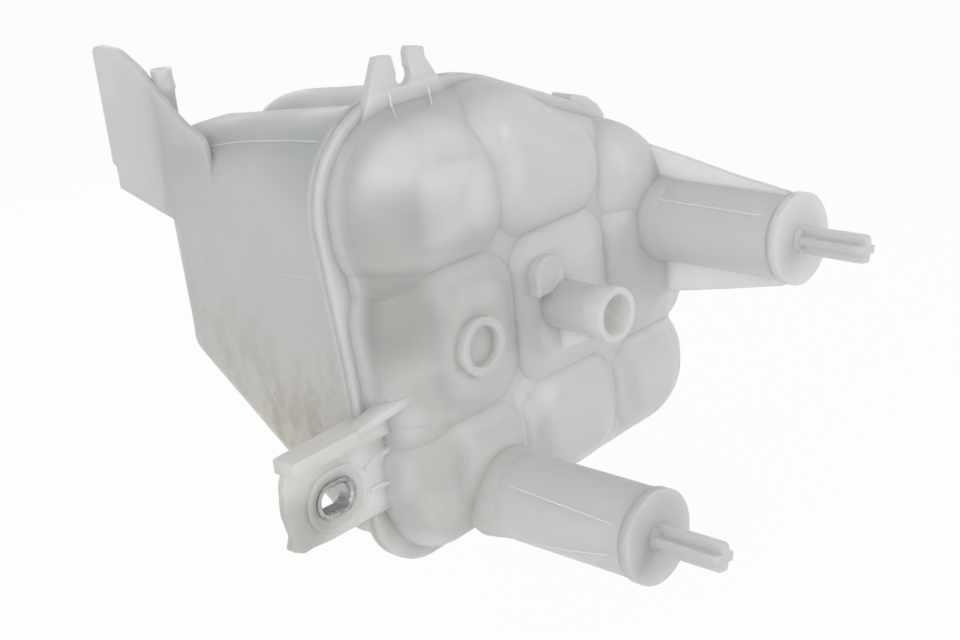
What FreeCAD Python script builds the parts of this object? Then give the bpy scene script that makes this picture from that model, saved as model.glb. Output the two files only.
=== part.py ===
"""Coolant expansion tank of a car: two welded half shells and the steel sleeve of the mounting ear.

Frame: millimetres, +Z up, the two locating posts point to -Y. The origin is the centre of the
lower post's end disc, on its front face.
"""
import FreeCAD, Part, Sketcher
import math
import os
from FreeCAD import Vector

os.makedirs("parts", exist_ok=True)
doc = FreeCAD.newDocument("coolant_tank")
sheet = doc.addObject("Spreadsheet::Sheet", "Sizes")

SIZES = [
    # Planes across the depth
    ("seam_y", 85.0, "weld plane between the half shells"),
    ("front_y", 60.0, "flat crown of the front lobes"),
    ("rear_y", 163.5, "rear wall"),
    ("wall", 3.0, "wall of both mouldings"),
    # Weld flange outline, seen from the front
    ("flange_left_low", -37.2, "left edge at the bottom"),
    ("flange_left_mid", -41.0, "left edge at the bend"),
    ("flange_bend_z", 48.0, "height of the bend in the left edge"),
    ("flange_left_top", -49.0, "left edge at the top"),
    ("flange_top_z", 131.0, "top edge"),
    ("shoulder_x", 20.7, "where the top edge starts to slope down"),
    ("shoulder_z", 92.9, "height of the slope at the right edge"),
    ("flange_right", 107.0, "right edge"),
    ("flange_low_left_z", -22.5, "bottom edge at the left"),
    ("flange_low_right_z", -15.0, "bottom edge at the right"),
    ("flange_reach", 3.5, "how far the flange stands out of the wall"),
    ("flange_thick", 3.0, "one half of the weld flange"),
    ("flange_bead", 1.1, "rounding of each flange edge"),
    ("seam_groove", 0.8, "bevel of each half at the seam"),
    # Pillow lobes of the front shell
    ("groove_left_x", 15.0, "groove between the left and middle columns"),
    ("groove_right_x", 60.0, "groove between the middle and right columns"),
    ("groove_high_z", 79.0, "groove under the top row"),
    ("groove_low_z", 28.5, "groove over the bottom row"),
    ("groove_depth", 4.9, "depth of the grooves below the crowns"),
    ("lobe_round", 16.0, "edge rounding of the middle and right lobes"),
    ("left_round", 24.0, "edge rounding of the left lobes"),
    ("low_round", 20.0, "edge rounding of the bottom middle and right lobes"),
    ("low_inset", 2.4, "how far the bottom lobes stay above the wall line"),
    # Rear shell
    ("fin_x", -43.5, "outer face of the wing"),
    ("belly_y", 101.0, "where the floor starts to rise"),
    ("rear_left_x", -42.5, "left wall at the rear, at the floor"),
    ("valley_x", -4.0, "valley between the two rear humps"),
    ("valley_lap", 5.7, "overlap of the humps at the valley"),
    ("rear_floor_z", 42.5, "floor at the rear wall"),
    ("hump_rear_z", 118.0, "top of the left hump at the rear wall"),
    ("ridge_rear_z", 118.6, "top of the middle hump at the rear wall"),
    ("rear_round", 10.0, "rounding of the rear edges"),
    ("hump_round", 20.0, "rounding of the humps at the valley"),
    ("hump_left_round", 14.0, "rounding of the left edge of the left hump"),
    ("belly_round", 13.0, "rounding of the floor's long edges"),
    ("right_top_z", 74.0, "top of the lowered right bay under the neck"),
    ("right_rear_y", 146.0, "rear wall of the right bay"),
    ("right_bay_x", 52.0, "left side of the right bay"),
    ("collar_rear_y", 99.0, "depth of the full height part behind the flange"),
    # Locating posts
    ("post_radius", 14.2, "outside of both posts"),
    ("post_bore", 11.5, "hollow of both posts"),
    ("disc_radius", 15.0, "end disc"),
    ("disc_thick", 3.0, "end disc"),
    ("neck_radius", 13.2, "undercut behind the end disc"),
    ("neck_long", 1.5, "undercut behind the end disc"),
    ("post_flare", 1.5, "flare at the root of a post"),
    ("post_flare_long", 10.0, "flare at the root of a post"),
    ("upper_x", 87.8, "axis of the upper post"),
    ("upper_z", 66.4, "axis of the upper post"),
    ("upper_y", 5.5, "front face of the upper disc"),
    # Cross section pins
    ("pin_span", 9.0, "tip to tip across the pin"),
    ("pin_web", 2.4, "thickness of each web"),
    ("pin_long", 24.6, "standing length"),
    ("pin_core", 2.1, "radius of the round core"),
    ("pin_tip", 1.6, "rounding of each web's tip"),
    ("pin_turn", 12.0, "turn of the cross about its axis, degrees"),
    # Hose pipe on the middle lobe
    ("pipe_x", 31.0, "axis"),
    ("pipe_z", 54.0, "axis"),
    ("pipe_front_y", 36.0, "open end"),
    ("pipe_radius", 8.0, "outside"),
    ("pipe_bore", 6.6, "bore"),
    ("band_radius", 8.8, "end band"),
    ("band_long", 8.0, "end band"),
    # Blanked ring and arched boss
    ("ring_x", -7.6, "axis of the blanked ring"),
    ("ring_z", 52.8, "axis of the blanked ring"),
    ("ring_radius", 9.3, "outside of the ring"),
    ("ring_hollow", 6.6, "inside of the ring"),
    ("ring_high", 3.0, "height of the ring"),
    # Mounting ear
    ("ear_x", -55.0, "centre of the sleeve"),
    ("ear_z", 15.5, "centre of the sleeve"),
    ("ear_thick", 5.5, "boss round the sleeve"),
    ("ear_plate", 2.8, "plate round the boss"),
    ("ledge_high", 4.6, "ledge on the top edge"),
    ("ledge_deep", 3.5, "how far the ledge stands out of the plate"),
    ("slot_span", 4.0, "distance between the two round ends of the sleeve"),
    ("slot_radius", 4.05, "inside of the sleeve's ends"),
    ("sleeve_wall", 1.9, "wall of the sleeve"),
    ("sleeve_proud", 0.25, "how far the sleeve stands out of the ear"),
    ("sleeve_edge", 0.5, "chamfer of the sleeve's slot"),
    # Fork clip on the flange
    ("fork_thick", 3.0, "plate of the fork"),
    ("fork_x", -6.4, "middle of the fork's seat"),
    ("fork_seat_z", 135.4, "middle of the fork's seat"),
    ("fork_seat", 3.3, "radius of the fork's seat"),
    ("fork_mouth", 5.2, "width between the prongs"),
    # Wing, nipple and neck on the rear shell
    ("fin_thick", 2.2, "wing"),
    ("nipple_x", -38.0, "axis"),
    ("nipple_y", 158.0, "axis"),
    ("nipple_top_z", 138.5, "open end"),
    ("nipple_radius", 3.4, "outside"),
    ("nipple_bore", 2.1, "bore"),
    ("nipple_root_z", 100.0, "foot inside the hump"),
    ("neck_x", 80.0, "axis of the filler neck"),
    ("neck_y", 121.0, "axis of the filler neck"),
    ("mouth_z", 97.0, "rim of the filler neck"),
    ("mouth_bore", 14.5, "bore of the filler neck"),
    ("mouth_wall", 2.6, "wall of the filler neck"),
    ("mouth_bead", 2.4, "how far the bead under the rim stands out"),
]
for row, (alias, value, note) in enumerate(SIZES, 1):
    sheet.set("A%d" % row, alias)
    sheet.set("B%d" % row, str(value))
    sheet.set("C%d" % row, note)
    sheet.setAlias("B%d" % row, alias)
doc.recompute()


def size(alias):
    return float(getattr(sheet, alias))


# Outline helpers. An outline is a list of (x, z, corner radius), taken round the shape.

def outline_wire(corners, place):
    """Closed wire of straight runs and tangent arcs; place turns (a, b) into a point."""
    count = len(corners)
    runs = []
    for i in range(count):
        a, b, radius = corners[i]
        pa, pb = corners[i - 1][0] - a, corners[i - 1][1] - b
        na, nb = corners[(i + 1) % count][0] - a, corners[(i + 1) % count][1] - b
        lp, ln = math.hypot(pa, pb), math.hypot(na, nb)
        pa, pb, na, nb = pa / lp, pb / lp, na / ln, nb / ln
        if radius <= 0:
            runs.append(((a, b), None, (a, b)))
            continue
        half = math.acos(max(-1.0, min(1.0, pa * na + pb * nb))) / 2
        reach = radius / math.tan(half)
        ma, mb = pa + na, pb + nb
        lm = math.hypot(ma, mb)
        deep = radius / math.sin(half) - radius
        runs.append(((a + pa * reach, b + pb * reach),
                     (a + ma / lm * deep, b + mb / lm * deep),
                     (a + na * reach, b + nb * reach)))
    edges = []
    for i in range(count):
        start, mid, end = runs[i]
        if mid is not None:
            edges.append(Part.Arc(place(*start), place(*mid), place(*end)).toShape())
        after = runs[(i + 1) % count][0]
        if math.hypot(after[0] - end[0], after[1] - end[1]) > 1e-4:
            edges.append(Part.LineSegment(place(*end), place(*after)).toShape())
    return Part.Wire(edges)


def across(y):
    return lambda x, z: Vector(x, y, z)


def shrink(corners, by):
    """The same convex outline moved inwards by a distance."""
    area = 0.0
    for i in range(len(corners)):
        (a, b, _), (c, d, _) = corners[i - 1], corners[i]
        area += a * d - c * b
    turn = 1.0 if area > 0 else -1.0
    lines = []
    for i in range(len(corners)):
        (a, b, _), (c, d, _) = corners[i], corners[(i + 1) % len(corners)]
        long = math.hypot(c - a, d - b)
        u, v = (c - a) / long, (d - b) / long
        lines.append((a - v * by * turn, b + u * by * turn, u, v))
    out = []
    for i in range(len(corners)):
        a, b, u, v = lines[i - 1]
        c, d, s, w = lines[i]
        det = u * w - v * s
        step = ((c - a) * w - (d - b) * s) / det
        radius = corners[i][2]
        out.append((a + u * step, b + v * step, radius - by if radius > by else 0.0))
    return out


def edges_at(shape, y):
    found = []
    for edge in shape.Edges:
        if all(abs(v.Point.y - y) < 1e-4 for v in edge.Vertexes) and abs(edge.CenterOfMass.y - y) < 1e-4:
            found.append(edge)
    return found


def pillow(corners, flat_y, round_y, radius, bevel=False):
    """Prism along Y whose edge at round_y is rounded, or bevelled."""
    face = Part.Face(outline_wire(corners, across(flat_y)))
    solid = face.extrude(Vector(0, round_y - flat_y, 0))
    if radius > 0:
        ease = solid.makeChamfer if bevel else solid.makeFillet
        solid = ease(radius, edges_at(solid, round_y))
    return solid


def taper(sections, radius, bevel=False):
    """Ruled body through outlines, each given as (outline, y), with its far edge rounded or bevelled."""
    solid = Part.makeLoft([outline_wire(line, across(y)) for line, y in sections], True, True)
    if radius > 0:
        ease = solid.makeChamfer if bevel else solid.makeFillet
        solid = ease(radius, edges_at(solid, sections[-1][1]))
    return solid


def shaped(name, shape):
    piece = doc.addObject("Part::Feature", name)
    piece.Shape = shape
    piece.Placement = FreeCAD.Placement()
    return piece


def fused(name, pieces):
    joined = doc.addObject("Part::MultiFuse", name)
    joined.Shapes = pieces
    joined.Refine = True
    return joined


def cut(name, base, tool):
    left = doc.addObject("Part::Cut", name)
    left.Base = base
    left.Tool = tool
    left.Refine = True
    return left


def bar(name, radius, long, x, y, z, upright=False):
    """Round bar along +Y, or along +Z when upright. All sizes are sheet expressions."""
    piece = doc.addObject("Part::Cylinder", name)
    turn = 0 if upright else -90
    piece.Placement = FreeCAD.Placement(Vector(), FreeCAD.Rotation(Vector(1, 0, 0), turn))
    piece.setExpression("Radius", radius)
    piece.setExpression("Height", long)
    piece.setExpression("Placement.Base.x", x)
    piece.setExpression("Placement.Base.y", y)
    piece.setExpression("Placement.Base.z", z)
    return piece


def cone(name, near, far, long, x, y, z, upright=False):
    piece = doc.addObject("Part::Cone", name)
    turn = 0 if upright else -90
    piece.Placement = FreeCAD.Placement(Vector(), FreeCAD.Rotation(Vector(1, 0, 0), turn))
    piece.setExpression("Radius1", near)
    piece.setExpression("Radius2", far)
    piece.setExpression("Height", long)
    piece.setExpression("Placement.Base.x", x)
    piece.setExpression("Placement.Base.y", y)
    piece.setExpression("Placement.Base.z", z)
    return piece


def plate_x(points, x, thick):
    """Plate across X, its middle at x, from (y, z) points."""
    wire = outline_wire(points, lambda y, z: Vector(x - thick / 2, y, z))
    return Part.Face(wire).extrude(Vector(thick, 0, 0))


def plate_y(points, y, thick):
    """Plate whose front face is at y, from (x, z) points."""
    return Part.Face(outline_wire(points, across(y))).extrude(Vector(0, thick, 0))


seam = size("seam_y")
front = size("front_y")
rear = size("rear_y")
wall = size("wall")
reach = size("flange_reach")
past = 2.0

# The weld flange and the wall line inside it

flange_line = [
    (size("flange_left_low"), size("flange_low_left_z"), 22.0),
    (size("flange_left_mid"), size("flange_bend_z"), 80.0),
    (size("flange_left_top"), size("flange_top_z"), 32.0),
    (size("shoulder_x"), size("flange_top_z"), 60.0),
    (size("flange_right"), size("shoulder_z"), 60.0),
    (size("flange_right"), size("flange_low_right_z"), 24.0),
]
wall_line = shrink(flange_line, reach)


def between(a, b, t):
    return a + (b - a) * t


def wall_left(z):
    low, bend, top = wall_line[0], wall_line[1], wall_line[2]
    if z < bend[1]:
        return between(low[0], bend[0], (z - low[1]) / (bend[1] - low[1]))
    return between(bend[0], top[0], (z - bend[1]) / (top[1] - bend[1]))


def wall_top(x):
    a, b = wall_line[3], wall_line[4]
    if x < a[0]:
        return a[1]
    return between(a[1], b[1], (x - a[0]) / (b[0] - a[0]))


def wall_low(x):
    a, b = wall_line[0], wall_line[5]
    return between(a[1], b[1], (x - a[0]) / (b[0] - a[0]))


wall_right = wall_line[5][0]


def inner_bevel(radius):
    """Bevel of a hollow that keeps its wall inside a rounding of this radius."""
    return 0.62 * (radius - wall)


def lap(radius):
    """How far a lobe runs past the groove line for the groove to have its depth."""
    deep = size("groove_depth")
    return radius - math.sqrt(radius ** 2 - (radius - deep) ** 2)


# Front shell: nine pillow lobes on a common base

mid_round = size("lobe_round")
left_round = size("left_round")
gx, hx = size("groove_left_x"), size("groove_right_x")
gz, hz = size("groove_high_z"), size("groove_low_z")
low_round = size("low_round")
lap_mid, lap_left, lap_low = lap(mid_round), lap(left_round), lap(low_round)
m = mid_round + 0.5
n = left_round + 0.5
k = low_round + 0.5
left_right = gx + lap_left
inset = size("low_inset")

lobes = {
    "top_left": ([(wall_left(gz - lap_left), gz - lap_left, n),
                  (left_right, gz - lap_left, n),
                  (left_right, wall_top(0), n + 4),
                  (wall_left(wall_top(0)), wall_top(0), n + 4)], left_round),
    "middle_left": ([(wall_left(hz - lap_left), hz - lap_left, n),
                     (left_right, hz - lap_left, n),
                     (left_right, gz + lap_left, n),
                     (wall_left(gz + lap_left), gz + lap_left, n)], left_round),
    "bottom_left": ([(wall_left(wall_low(0)), wall_low(gx - 40) + inset / 2, n),
                     (left_right, wall_low(gx) + inset, n),
                     (left_right, hz + lap_left, n),
                     (wall_left(hz + lap_left), hz + lap_left, n)], left_round),
    "top_middle": ([(gx - lap_mid, gz - lap_mid, m),
                    (hx + lap_mid, gz - lap_mid, m),
                    (hx + lap_mid, gz - lap_mid + 1.7 * m, m),
                    (gx + 12, wall_top(0), 1.5 * m),
                    (gx - 19, wall_top(0), m)], mid_round),
    "middle": ([(gx - lap_mid, hz - lap_mid, m),
                (hx + lap_mid, hz - lap_mid, m),
                (hx + lap_mid, gz + lap_mid, m),
                (gx - lap_mid, gz + lap_mid, m)], mid_round),
    "bottom_middle": ([(gx - lap_low, wall_low(gx) + inset, k),
                       (hx + lap_low, wall_low(hx) + inset, k),
                       (hx + lap_low, hz + lap_low, k),
                       (gx - lap_low, hz + lap_low, k)], low_round),
    "top_right": ([(hx - lap_mid, gz - lap_mid, m),
                   (wall_right, gz - 50, m),
                   (wall_right - 4, wall_top(wall_right - 4), 2 * m),
                   (hx - lap_mid, wall_top(hx - lap_mid), m)], mid_round),
    "middle_right": ([(hx - lap_mid, hz - lap_mid, m),
                      (wall_right, hz - lap_mid, m),
                      (wall_right, gz + lap_mid, m),
                      (hx - lap_mid, gz + lap_mid, m)], mid_round),
    "bottom_right": ([(hx - lap_low, wall_low(hx) + inset, k),
                      (wall_right, wall_low(wall_right) + inset, k + 2.5),
                      (wall_right, hz + lap_low, k),
                      (hx - lap_low, hz + lap_low, k)], low_round),
}
groove_y = front + size("groove_depth")
outer_pieces = []
inner_pieces = []
for name, (corners, radius) in lobes.items():
    outer_pieces.append(shaped("lobe_" + name, pillow(corners, seam, front, radius)))
    inside = shrink(corners, wall)
    inner_pieces.append(shaped("hollow_" + name, pillow(inside, seam + past, front + wall,
                                                        inner_bevel(radius), True)))
base_line = shrink(wall_line, 0.4)
for i in (0, 1, 2):
    base_line[i] = (base_line[i][0] + 2.5, base_line[i][1], base_line[i][2])
base_round = 16.5
outer_pieces.append(shaped("lobe_base", pillow(base_line, seam, groove_y + 0.6, base_round)))
inner_pieces.append(shaped("hollow_base", pillow(shrink(base_line, wall), seam + past, groove_y + wall + 0.6,
                                                 inner_bevel(base_round), True)))


def flange_half(far_y, bevel):
    """One lip of the weld flange; both are eased at the seam, so the pair shows a groove."""
    lip = pillow(flange_line, seam, far_y, size("flange_bead"), bevel)
    return lip.makeChamfer(size("seam_groove"), edges_at(lip, seam))


outer_pieces.append(shaped("front_flange", flange_half(seam - size("flange_thick"), False)))


# Locating posts with end discs and cross section pins

def pin(name, x, y, z):
    """Cross section pin of two webs with rounded tips, built upright on z = 0 and turned to point to -Y."""
    sunk = 1.0
    half, high, thick, tip = size("pin_span") / 2, size("pin_long") + sunk, size("pin_web"), size("pin_tip")
    line = [(-half, 0, 0), (half, 0, 0), (half, high, tip), (-half, high, tip)]
    webs = [
        shaped(name + "_web0", plate_y(line, -thick / 2, thick)),
        shaped(name + "_web1", plate_x(line, 0, thick)),
        bar(name + "_core", "Sizes.pin_core", "Sizes.pin_long + %s" % sunk, "0", "0", "0", True),
        cone(name + "_foot", "Sizes.pin_span / 2 + 0.8", "Sizes.pin_core + 0.6", "3.2", "0", "0", "0", True),
    ]
    whole = fused(name, webs)
    spin = FreeCAD.Rotation(Vector(0, 0, 1), -size("pin_turn"))
    whole.Placement = FreeCAD.Placement(Vector(), FreeCAD.Rotation(Vector(1, 0, 0), 90).multiply(spin))
    whole.setExpression("Placement.Base.x", x)
    whole.setExpression("Placement.Base.y", "%s + %s" % (y, sunk))
    whole.setExpression("Placement.Base.z", z)
    return whole


def post(name, x, y, z):
    """Post along Y with its disc's front face at y; returns the added solids and the hollow."""
    behind = "(%s + Sizes.disc_thick + Sizes.neck_long)" % y
    disc = bar(name + "_disc", "Sizes.disc_radius", "Sizes.disc_thick", x, y, z)
    undercut = bar(name + "_undercut", "Sizes.neck_radius", "Sizes.neck_long + 0.5",
                   x, "%s + Sizes.disc_thick - 0.25" % y, z)
    tube = bar(name + "_tube", "Sizes.post_radius", "Sizes.front_y + 16 - " + behind, x, behind, z)
    flare = cone(name + "_flare", "Sizes.post_radius", "Sizes.post_radius + Sizes.post_flare",
                 "Sizes.post_flare_long", x, "Sizes.front_y + 4 - Sizes.post_flare_long", z)
    hollow = bar(name + "_hollow", "Sizes.post_bore", "Sizes.front_y + 12 - %s - Sizes.disc_thick" % y,
                 x, "%s + Sizes.disc_thick" % y, z)
    return [disc, undercut, tube, flare, pin(name + "_pin", x, y, z)], hollow


lower, lower_hollow = post("lower", "0", "0", "0")
upper, upper_hollow = post("upper", "Sizes.upper_x", "Sizes.upper_y", "Sizes.upper_z")


ux, uy, uz, pr = size("upper_x"), size("upper_y"), size("upper_z"), size("post_radius")
rib = 2.0
gussets = [
    shaped("upper_gusset_top", plate_x([
        (uy + 3.8, uz + pr - 3, 0), (uy + 3.8, uz + pr + 1.0, 0), (28.4, uz + pr + 3.8, 0),
        (front - 7.6, uz + pr + 8.4, 0), (front + 11, uz + pr + 11.5, 0),
        (seam - 3, uz + pr + 12.9, 0), (seam - 3, uz, 0), (front - 4, uz + pr - 3, 0)], ux, rib)),
    shaped("upper_gusset_low", plate_x([
        (uy + 7.3, uz - pr + 3, 0), (uy + 7.3, uz - pr - 2.5, 0), (35, uz - pr - 7.2, 0),
        (front - 1.6, uz - pr - 11.8, 0), (front + 14, uz - pr - 15, 0),
        (front + 14, uz - pr + 3, 0)], ux, rib)),
]

# Hose pipe, its web, the blanked ring and the arched boss

pipe = [
    bar("pipe_tube", "Sizes.pipe_radius", "Sizes.front_y + 1.5 - Sizes.pipe_front_y",
        "Sizes.pipe_x", "Sizes.pipe_front_y", "Sizes.pipe_z"),
    bar("pipe_band", "Sizes.band_radius", "Sizes.band_long",
        "Sizes.pipe_x", "Sizes.pipe_front_y", "Sizes.pipe_z"),
]
pipe_hollow = bar("pipe_hollow", "Sizes.pipe_bore", "Sizes.front_y + 8 - Sizes.pipe_front_y",
                  "Sizes.pipe_x", "Sizes.pipe_front_y - 1", "Sizes.pipe_z")
px, pz = size("pipe_x"), size("pipe_z")
band_back = size("pipe_front_y") + size("band_long")
pipe.append(shaped("pipe_web", plate_x([
    (band_back + 1, pz - size("pipe_radius") + 1, 0), (front + 1, pz - size("pipe_radius") + 1, 0),
    (front + 1, pz - size("pipe_radius") - 8, 0), (band_back + 4, pz - size("pipe_radius") - 2, 0)], px, 2.4)))
ring_tube = cut("ring_tube",
                bar("ring_outside", "Sizes.ring_radius", "Sizes.ring_high + 2",
                    "Sizes.ring_x", "Sizes.front_y - Sizes.ring_high", "Sizes.ring_z"),
                bar("ring_inside", "Sizes.ring_hollow", "Sizes.ring_high + 4",
                    "Sizes.ring_x", "Sizes.front_y - Sizes.ring_high - 1", "Sizes.ring_z"))
arch = shaped("arched_boss", plate_y([
    (px - 12, pz + 6, 0), (px - 12, pz + 18, 5.9), (px, pz + 18, 5.9), (px, pz + 6, 0)], front - 2.6, 4.6))

# Mounting ear: plate, nub, ledge along the top, gusset to the front and the raised line

ex, ez = size("ear_x"), size("ear_z")
ear_y = seam - size("ear_thick")
body_x = wall_left(ez) + 2
ledge_z = ez + 14.2
ear_plate = shaped("ear_plate", plate_y([
    (body_x + 4, ez - 11.7, 0), (ex - 4.6, ez - 12.3, 4), (ex - 11.4, ez - 11.8, 2), (ex - 15.2, ez - 12.1, 1.2),
    (ex - 19.8, ez - 9.7, 1.2), (ex - 18.2, ez - 5.7, 2), (ex - 20.2, ez + 2.4, 14),
    (ex - 19.2, ez + 11.6, 4), (ex - 17.6, ledge_z + 1, 0), (body_x + 4, ledge_z + 1, 0)],
    ear_y, size("ear_plate")))
ledge = shaped("ear_ledge", plate_y([
    (ex - 17.7, ledge_z, 0), (ex - 17.7, ledge_z + size("ledge_high"), 1.0),
    (body_x, ledge_z + size("ledge_high") + 1.5, 0), (body_x, ledge_z, 0)],
    ear_y - size("ledge_deep"), size("ear_thick") + size("ledge_deep")))


def slot_line(radius):
    """Oval of the sleeve, long along X."""
    half = size("slot_span") / 2 + radius
    return [(ex - half, ez - radius, radius), (ex + half, ez - radius, radius),
            (ex + half, ez + radius, radius), (ex - half, ez + radius, radius)]


sleeve_out = size("slot_radius") + size("sleeve_wall")
ear_boss = shaped("ear_boss", plate_y(slot_line(sleeve_out + 3.4), ear_y + 1, size("ear_thick") - 1))
ear_hole = shaped("ear_hole", plate_y(slot_line(sleeve_out), ear_y - 3, size("ear_thick") + 6))
rim = cut("ear_rim",
          shaped("ear_rim_outside", plate_y(slot_line(sleeve_out + 4.2), ear_y - 0.9, 2)),
          shaped("ear_rim_inside", plate_y(slot_line(sleeve_out + 2.8), ear_y - 2, 4)))


def strut(name, start, end, wide_start, wide_end, thick):
    """Flat tapering rib between two points, each given as (x, y, z)."""
    wires = []
    for (x, y, z), wide in ((start, wide_start), (end, wide_end)):
        corners = [Vector(x, y - wide / 2, z - thick / 2), Vector(x, y + wide / 2, z - thick / 2),
                   Vector(x, y + wide / 2, z + thick / 2), Vector(x, y - wide / 2, z + thick / 2)]
        wires.append(Part.makePolygon(corners + corners[:1]))
    return shaped(name, Part.makeLoft(wires, True, True))


ear_gusset = strut("ear_gusset", (ex + 4, ear_y + 1, ledge_z + 2), (size("ring_x") - 10, front + 6, ez + 33),
                   4.0, 12.0, 2.6)
ear_ribs = [
    strut("ear_rib_high", (ex + 12, ear_y, ez + 5), (body_x + 8, ear_y - 2, ez + 11), 2.2, 2.2, 1.2),
    strut("ear_rib_low", (ex + 13, ear_y, ez - 3), (body_x + 8, ear_y - 2, ez - 2), 2.2, 2.2, 1.2),
]

# Fork clip on the top of the flange

fx, fz = size("fork_x"), size("fork_seat_z")
fork_y = seam - size("fork_thick") - 1.5
base_z = size("flange_top_z") - 6
fork_plate = shaped("fork_plate", plate_y([
    (fx - 18.5, base_z, 0), (fx - 9.9, fz + 7.4, 1.0), (fx - 4.2, fz + 7.0, 1.2), (fx - 3.0, fz + 1.0, 0),
    (fx - 3.4, base_z, 0)], fork_y, size("fork_thick")))
fork_plate2 = shaped("fork_plate2", plate_y([
    (fx + 18.5, base_z, 0), (fx + 3.4, base_z, 0), (fx + 2.6, fz + 1.0, 0), (fx + 2.2, fz + 5.4, 0.6),
    (fx + 3.6, fz + 8.0, 1.0), (fx + 9.4, fz + 6.8, 1.2), (fx + 9.7, fz + 3.4, 1.0)],
    fork_y, size("fork_thick")))
fork_root = shaped("fork_root", plate_y([
    (fx - 8, base_z - 2, 0), (fx + 8, base_z - 2, 0), (fx + 8, fz + 0.5, 0), (fx - 8, fz + 0.5, 0)],
    fork_y, size("fork_thick")))
fork_seat = bar("fork_seat_cut", "Sizes.fork_seat", "Sizes.fork_thick + 4",
                "Sizes.fork_x", "Sizes.seam_y - Sizes.fork_thick - 3.5", "Sizes.fork_seat_z")
mouth = size("fork_mouth") / 2
fork_mouth = shaped("fork_mouth_cut", plate_y([
    (fx - mouth, fz, 0), (fx + mouth, fz, 0), (fx + mouth, fz + 14, 0), (fx - mouth, fz + 14, 0)],
    fork_y - 2, size("fork_thick") + 4))
fork = cut("fork", fused("fork_blank", [fork_plate, fork_plate2, fork_root]),
           fused("fork_slot", [fork_seat, fork_mouth]))

# The front moulding

outside = fused("front_outside", outer_pieces + lower + upper + gussets + pipe
                + [ear_plate, ear_boss, ledge, ear_gusset, fork])
inside = fused("front_inside", inner_pieces + [lower_hollow, upper_hollow, pipe_hollow, ear_hole])
front_body = cut("front_body", outside, inside)
front_shell = fused("front_shell", [front_body, ring_tube, arch, rim] + ear_ribs)
doc.recompute()

# Rear shell: two humps, the lowered right bay and the full height collar behind the flange


def floor_z(y):
    """Floor of the rear shell: level behind the flange, then rising to the rear wall."""
    low = wall_low(0) + 0.5
    rise = (y - size("belly_y")) / (rear - size("belly_y"))
    return low + max(0.0, rise) * (size("rear_floor_z") - low)


flange_thick = size("flange_thick")
hr = size("hump_round")
rr = size("rear_round")


def corner(alias, y):
    """Corner rounding that grows towards the rear wall, where the rear edge is rounded too."""
    return between(size(alias), max(size(alias), rr + 5.0), (y - seam) / (rear - seam))


def from_flange(index, more, alias, y):
    """Corner rounding that starts close to the flange's own and reaches the value of the rear wall."""
    return between(wall_line[index][2] + more, corner(alias, rear), (y - seam) / (rear - seam))


vx, vlap = size("valley_x"), size("valley_lap")
ridge_right = size("right_bay_x") + 16


def lean_top(x, z):
    """Top corner of the middle hump, following the slope of the flange."""
    slope = (wall_line[4][1] - wall_line[3][1]) / (wall_line[4][0] - wall_line[3][0])
    return z + (x - size("shoulder_x")) * slope


def hump(deep, y):
    """Section of the left hump at y, moved inwards by deep."""
    top = between(wall_line[2][1] + 0.5, size("hump_rear_z"), (y - seam) / (rear - seam))
    low = floor_z(y)
    low_x = between(wall_left(low), size("rear_left_x"), (y - seam) / (rear - seam))
    valley_round = between(hr - 3.0, hr, (y - seam) / (rear - seam))
    return shrink([(low_x, low, from_flange(0, 3.0, "belly_round", y)), (vx + vlap, low, hr - 5),
                   (vx + vlap, top, valley_round),
                   (wall_left(top), top, from_flange(2, -3.0, "hump_left_round", y))], deep)


def ridge(deep, y):
    """Section of the middle hump."""
    top = between(wall_line[2][1] + 0.6, size("ridge_rear_z"), (y - seam) / (rear - seam))
    low = floor_z(y)
    right_top = lean_top(ridge_right, top)
    return shrink([(vx - vlap, low, hr), (ridge_right, low, hr), (ridge_right, right_top, hr),
                   (size("shoulder_x"), top, 1.8 * hr), (vx - vlap, top, hr)], deep)


def bay(deep, y):
    """Section of the right bay under the filler neck."""
    low = floor_z(y) + 3.5
    top = size("right_top_z")
    round_bay = size("belly_round")
    return shrink([(size("right_bay_x"), low, round_bay), (wall_right, low, round_bay),
                   (wall_right, top, round_bay), (size("right_bay_x"), top, round_bay)], deep)


def collar(deep):
    left = size("right_bay_x") - 8
    return shrink([(left, wall_low(left) + 2, 18.0), (wall_right, wall_low(wall_right), 20.0),
                   (wall_right, wall_top(wall_right), wall_line[4][2]), (left, wall_top(left), 12.0)], deep)


def rear_lobe(name, section, far_y, radius):
    """Outer body and hollow of one bay; the hollow's floor is moved for an even wall on the slope."""
    belly = size("belly_y")
    outer = taper([(section(0, y), y) for y in (seam, belly, far_y)], radius)
    far_in = far_y - wall
    inner = taper([(section(wall, y), y) for y in (seam - past, belly - 1, far_in)], inner_bevel(radius), True)
    return shaped(name, outer), shaped(name + "_hollow", inner)


hump_out, hump_in = rear_lobe("rear_hump", hump, rear, rr)
ridge_out, ridge_in = rear_lobe("rear_ridge", ridge, rear, rr)
bay_out, bay_in = rear_lobe("rear_bay", bay, size("right_rear_y"), rr - 2)
collar_y = size("collar_rear_y")
collar_out = shaped("rear_collar", taper([(collar(0.3), seam), (collar(4), collar_y)], 7.0))
collar_in = shaped("rear_collar_hollow", taper([(collar(wall), seam - past), (collar(4 + wall), collar_y - wall)],
                                               inner_bevel(7.0), True))
rear_flange = shaped("rear_flange", flange_half(seam + flange_thick, True))
window = shaped("rear_window", pillow(shrink(wall_line, wall), seam - past, seam + flange_thick - 0.5, 0))

# Wing at the left, its outer face in line with the left wall

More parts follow.
